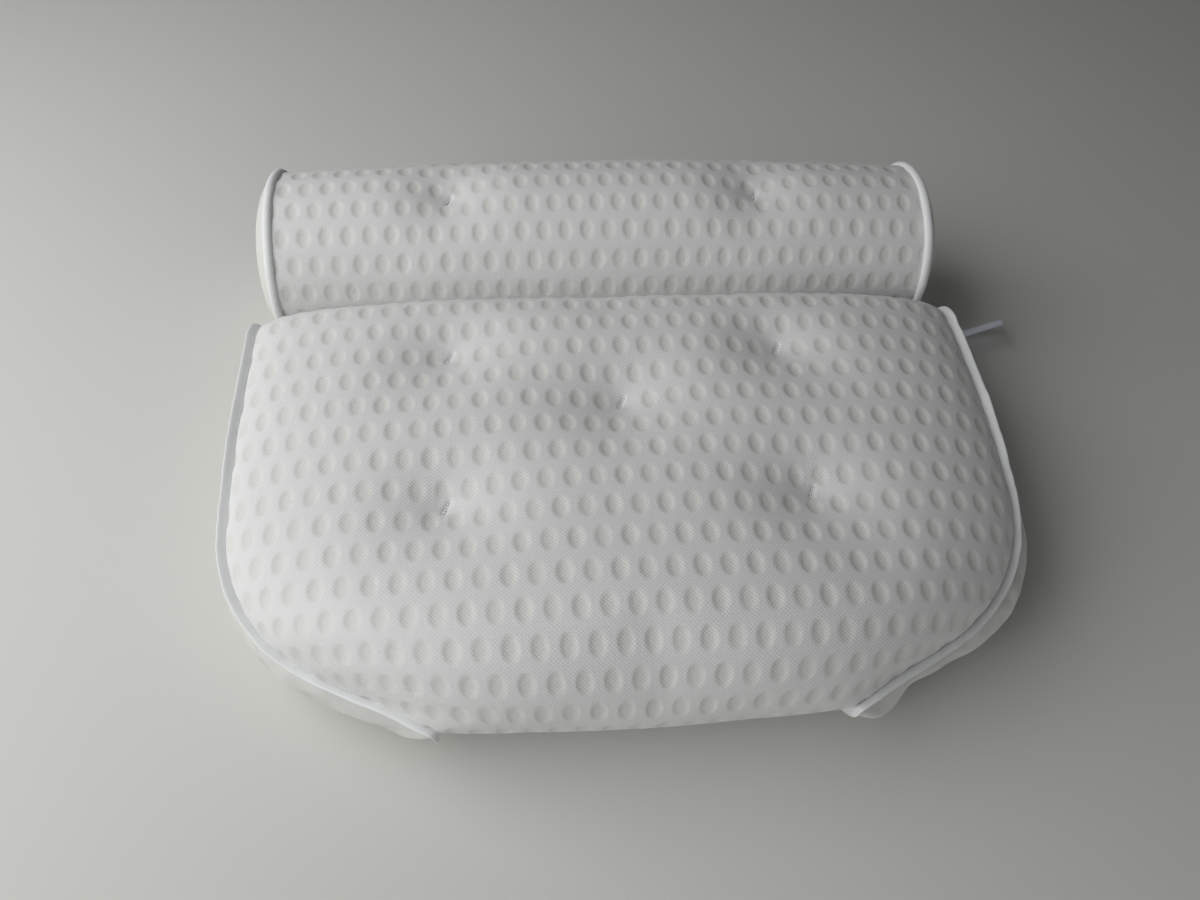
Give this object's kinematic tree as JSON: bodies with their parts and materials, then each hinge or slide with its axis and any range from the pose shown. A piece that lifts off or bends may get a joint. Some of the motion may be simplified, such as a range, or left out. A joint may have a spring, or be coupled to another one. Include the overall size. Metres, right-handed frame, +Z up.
{
  "type": "bath pillow",
  "caption": "Two-part padded bath pillow in dimpled air mesh: a tufted body cushion and a folding head roll on suction cups, with a swinging drying hook.",
  "frame": {"origin": "on the flat rim of the middle suction cup, in the plane where all the cups meet the tub wall, halfway across the front of that rim", "axes": "+X to the right along the roll, +Y from the front of the body to the roll, +Z up off the tub wall"},
  "size_m": [0.4662, 0.3476, 0.1116],
  "materials": {
    "air_mesh": "white dimpled knitted air mesh, matt",
    "plain_cloth": "white close woven polyester, matt",
    "padding": "loose white fibre padding",
    "bound_seam": "white bound and overcast seam",
    "thread": "white twisted sewing thread",
    "webbing": "narrow white woven tape",
    "cup_plastic": "clear soft plastic, glossy",
    "button_plastic": "white moulded plastic",
    "hook_plastic": "milky bluish-white moulded plastic, satin gloss"
  },
  "bodies": {
    "body": {"body_filling": "padding", "body_cover": "air_mesh", "body_back_panel": "plain_cloth", "body_left_end_panel": "plain_cloth", "body_left_piping": "bound_seam", "body_right_end_panel": "plain_cloth", "body_right_piping": "bound_seam", "hinge_web": "plain_cloth", "tuft_tie_centre": "thread", "tuft_tie_back_left": "thread", "tuft_tie_front_left": "thread", "tuft_tie_back_right": "thread", "tuft_tie_front_right": "thread", "cup_button_centre": "button_plastic", "cup_button_back_left": "button_plastic", "cup_button_front_left": "button_plastic", "cup_button_back_right": "button_plastic", "cup_button_front_right": "button_plastic", "hanging_loop": "webbing"},
    "roll": {"roll_filling": "padding", "roll_cover": "air_mesh", "roll_left_end_cap": "plain_cloth", "roll_left_piping": "bound_seam", "roll_right_end_cap": "plain_cloth", "roll_right_piping": "bound_seam", "tuft_tie_roll_left": "thread", "tuft_tie_roll_right": "thread", "cup_button_roll_left": "button_plastic", "cup_button_roll_right": "button_plastic"},
    "hook": {"drying_hook": "hook_plastic"},
    "cup_centre": {"suction_cup_centre": "cup_plastic"},
    "cup_back_left": {"suction_cup_back_left": "cup_plastic"},
    "cup_front_left": {"suction_cup_front_left": "cup_plastic"},
    "cup_back_right": {"suction_cup_back_right": "cup_plastic"},
    "cup_front_right": {"suction_cup_front_right": "cup_plastic"},
    "cup_roll_left": {"suction_cup_roll_left": "cup_plastic"},
    "cup_roll_right": {"suction_cup_roll_right": "cup_plastic"}
  },
  "joints": [
    {"name": "roll_fold", "type": "hinge", "parent": "body", "child": "roll", "pos_m": [0, 0.1045, 0.0175], "axis": [1, 0, 0], "range_deg": [-100, 0], "deforming": ["hinge_web"]},
    {"name": "hook_swing", "type": "hinge", "parent": "body", "child": "hook", "pos_m": [0.21179, 0.10213, 0.021], "axis": [0.1683, -0.518, 0.8387], "range_deg": [-5, 75]},
    {"name": "cup_centre_turn", "type": "hinge", "parent": "body", "child": "cup_centre", "pos_m": [0, 0.0215, 0], "axis": [0, 0, 1], "continuous": true},
    {"name": "cup_back_left_turn", "type": "hinge", "parent": "body", "child": "cup_back_left", "pos_m": [-0.09, 0.0565, 0], "axis": [0, 0, 1], "continuous": true},
    {"name": "cup_front_left_turn", "type": "hinge", "parent": "body", "child": "cup_front_left", "pos_m": [-0.09, -0.038, 0], "axis": [0, 0, 1], "continuous": true},
    {"name": "cup_back_right_turn", "type": "hinge", "parent": "body", "child": "cup_back_right", "pos_m": [0.09, 0.0565, 0], "axis": [0, 0, 1], "continuous": true},
    {"name": "cup_front_right_turn", "type": "hinge", "parent": "body", "child": "cup_front_right", "pos_m": [0.09, -0.038, 0], "axis": [0, 0, 1], "continuous": true},
    {"name": "cup_roll_left_turn", "type": "hinge", "parent": "roll", "child": "cup_roll_left", "pos_m": [-0.09, 0.1546, 0], "axis": [0, 0, 1], "continuous": true},
    {"name": "cup_roll_right_turn", "type": "hinge", "parent": "roll", "child": "cup_roll_right", "pos_m": [0.09, 0.1546, 0], "axis": [0, 0, 1], "continuous": true}
  ]
}
